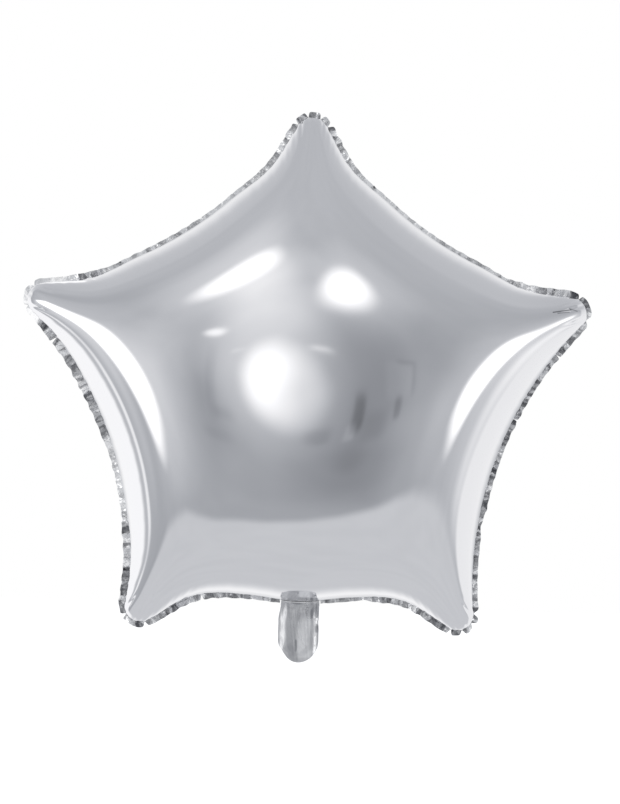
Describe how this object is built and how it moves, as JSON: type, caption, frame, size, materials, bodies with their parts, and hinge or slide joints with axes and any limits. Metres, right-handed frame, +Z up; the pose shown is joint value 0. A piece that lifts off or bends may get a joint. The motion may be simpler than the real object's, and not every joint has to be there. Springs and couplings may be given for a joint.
{
  "type": "star foil balloon",
  "caption": "Silver star-shaped foil balloon, blown up, with a ruffled heat-sealed rim and a flat filling tail that folds at its root. Party decoration that floats or hangs.",
  "frame": {"origin": "middle of the star, in the plane of the heat-sealed rim, where the lift of the gas acts", "axes": "+X to the right of the star, +Z up to its top tip, the front panel faces -Y"},
  "size_m": [0.4486, 0.188, 0.4338],
  "materials": {
    "mirror_foil": "bright silver foil, slightly soft mirror",
    "welded_foil": "silver foil welded flat and crinkled",
    "tail_foil": "thin silver foil with creases",
    "valve_film": "milky valve film"
  },
  "bodies": {
    "envelope": {"front_panel": "mirror_foil", "back_panel": "mirror_foil", "seam_rim": "welded_foil"},
    "tail": {"tail_border": "welded_foil", "tail_front": "tail_foil", "tail_back": "tail_foil", "valve_film": "valve_film"}
  },
  "joints": [
    {"name": "tail_fold", "type": "hinge", "parent": "envelope", "child": "tail", "pos_m": [0, 0, -0.16561], "axis": [1, 0, 0], "range_deg": [-60, 60]}
  ]
}
